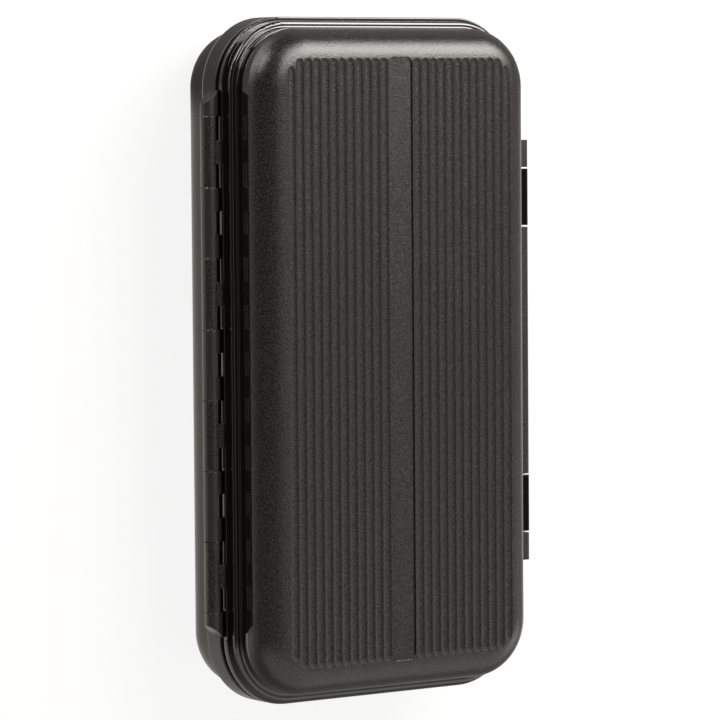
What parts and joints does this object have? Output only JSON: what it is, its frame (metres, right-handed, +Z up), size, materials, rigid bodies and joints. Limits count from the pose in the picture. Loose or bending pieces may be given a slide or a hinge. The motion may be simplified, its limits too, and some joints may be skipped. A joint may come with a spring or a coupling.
{
  "type": "waterproof fly box",
  "caption": "Long rectangular black plastic fly box with a fluted domed lid, a side hinge of open knuckles and swing latches on the other long side.",
  "frame": {"origin": "centre of the flat underside", "axes": "+X towards the latches and -X towards the hinge, +Y along the hinge, +Z up through the lid face"},
  "size_m": [0.115, 0.2, 0.0435],
  "materials": {
    "base_plastic": "semi-gloss black moulded ABS, a little warm",
    "lid_plastic": "fine satin spark texture on the face and shoulder, glossy on the walls, flange and hinge",
    "latch_plastic": "glossy black acetal",
    "pin_steel": "drawn stainless wire",
    "seal_rubber": "matte black silicone",
    "liner_foam": "dark grey closed-cell EVA foam, ridged and slit"
  },
  "bodies": {
    "base": {"base_shell": "base_plastic", "hinge_pin": "pin_steel", "gasket": "seal_rubber", "base_foam": "liner_foam"},
    "lid": {"lid_shell": "lid_plastic", "latch_pin_upper": "pin_steel", "latch_pin_lower": "pin_steel", "lid_foam": "liner_foam"},
    "upper_latch": {"latch_upper": "latch_plastic"},
    "lower_latch": {"latch_lower": "latch_plastic"}
  },
  "joints": [
    {"name": "lid_hinge", "type": "hinge", "parent": "base", "child": "lid", "pos_m": [-0.05505, 0, 0.0255], "axis": [0, -1, 0], "range_deg": [0, 180]},
    {"name": "upper_latch_swing", "type": "hinge", "parent": "lid", "child": "upper_latch", "pos_m": [0.05435, 0.0463, 0.0283], "axis": [0, -1, 0], "range_deg": [0, 90]},
    {"name": "lower_latch_swing", "type": "hinge", "parent": "lid", "child": "lower_latch", "pos_m": [0.05435, -0.0463, 0.0283], "axis": [0, -1, 0], "range_deg": [0, 90]}
  ]
}
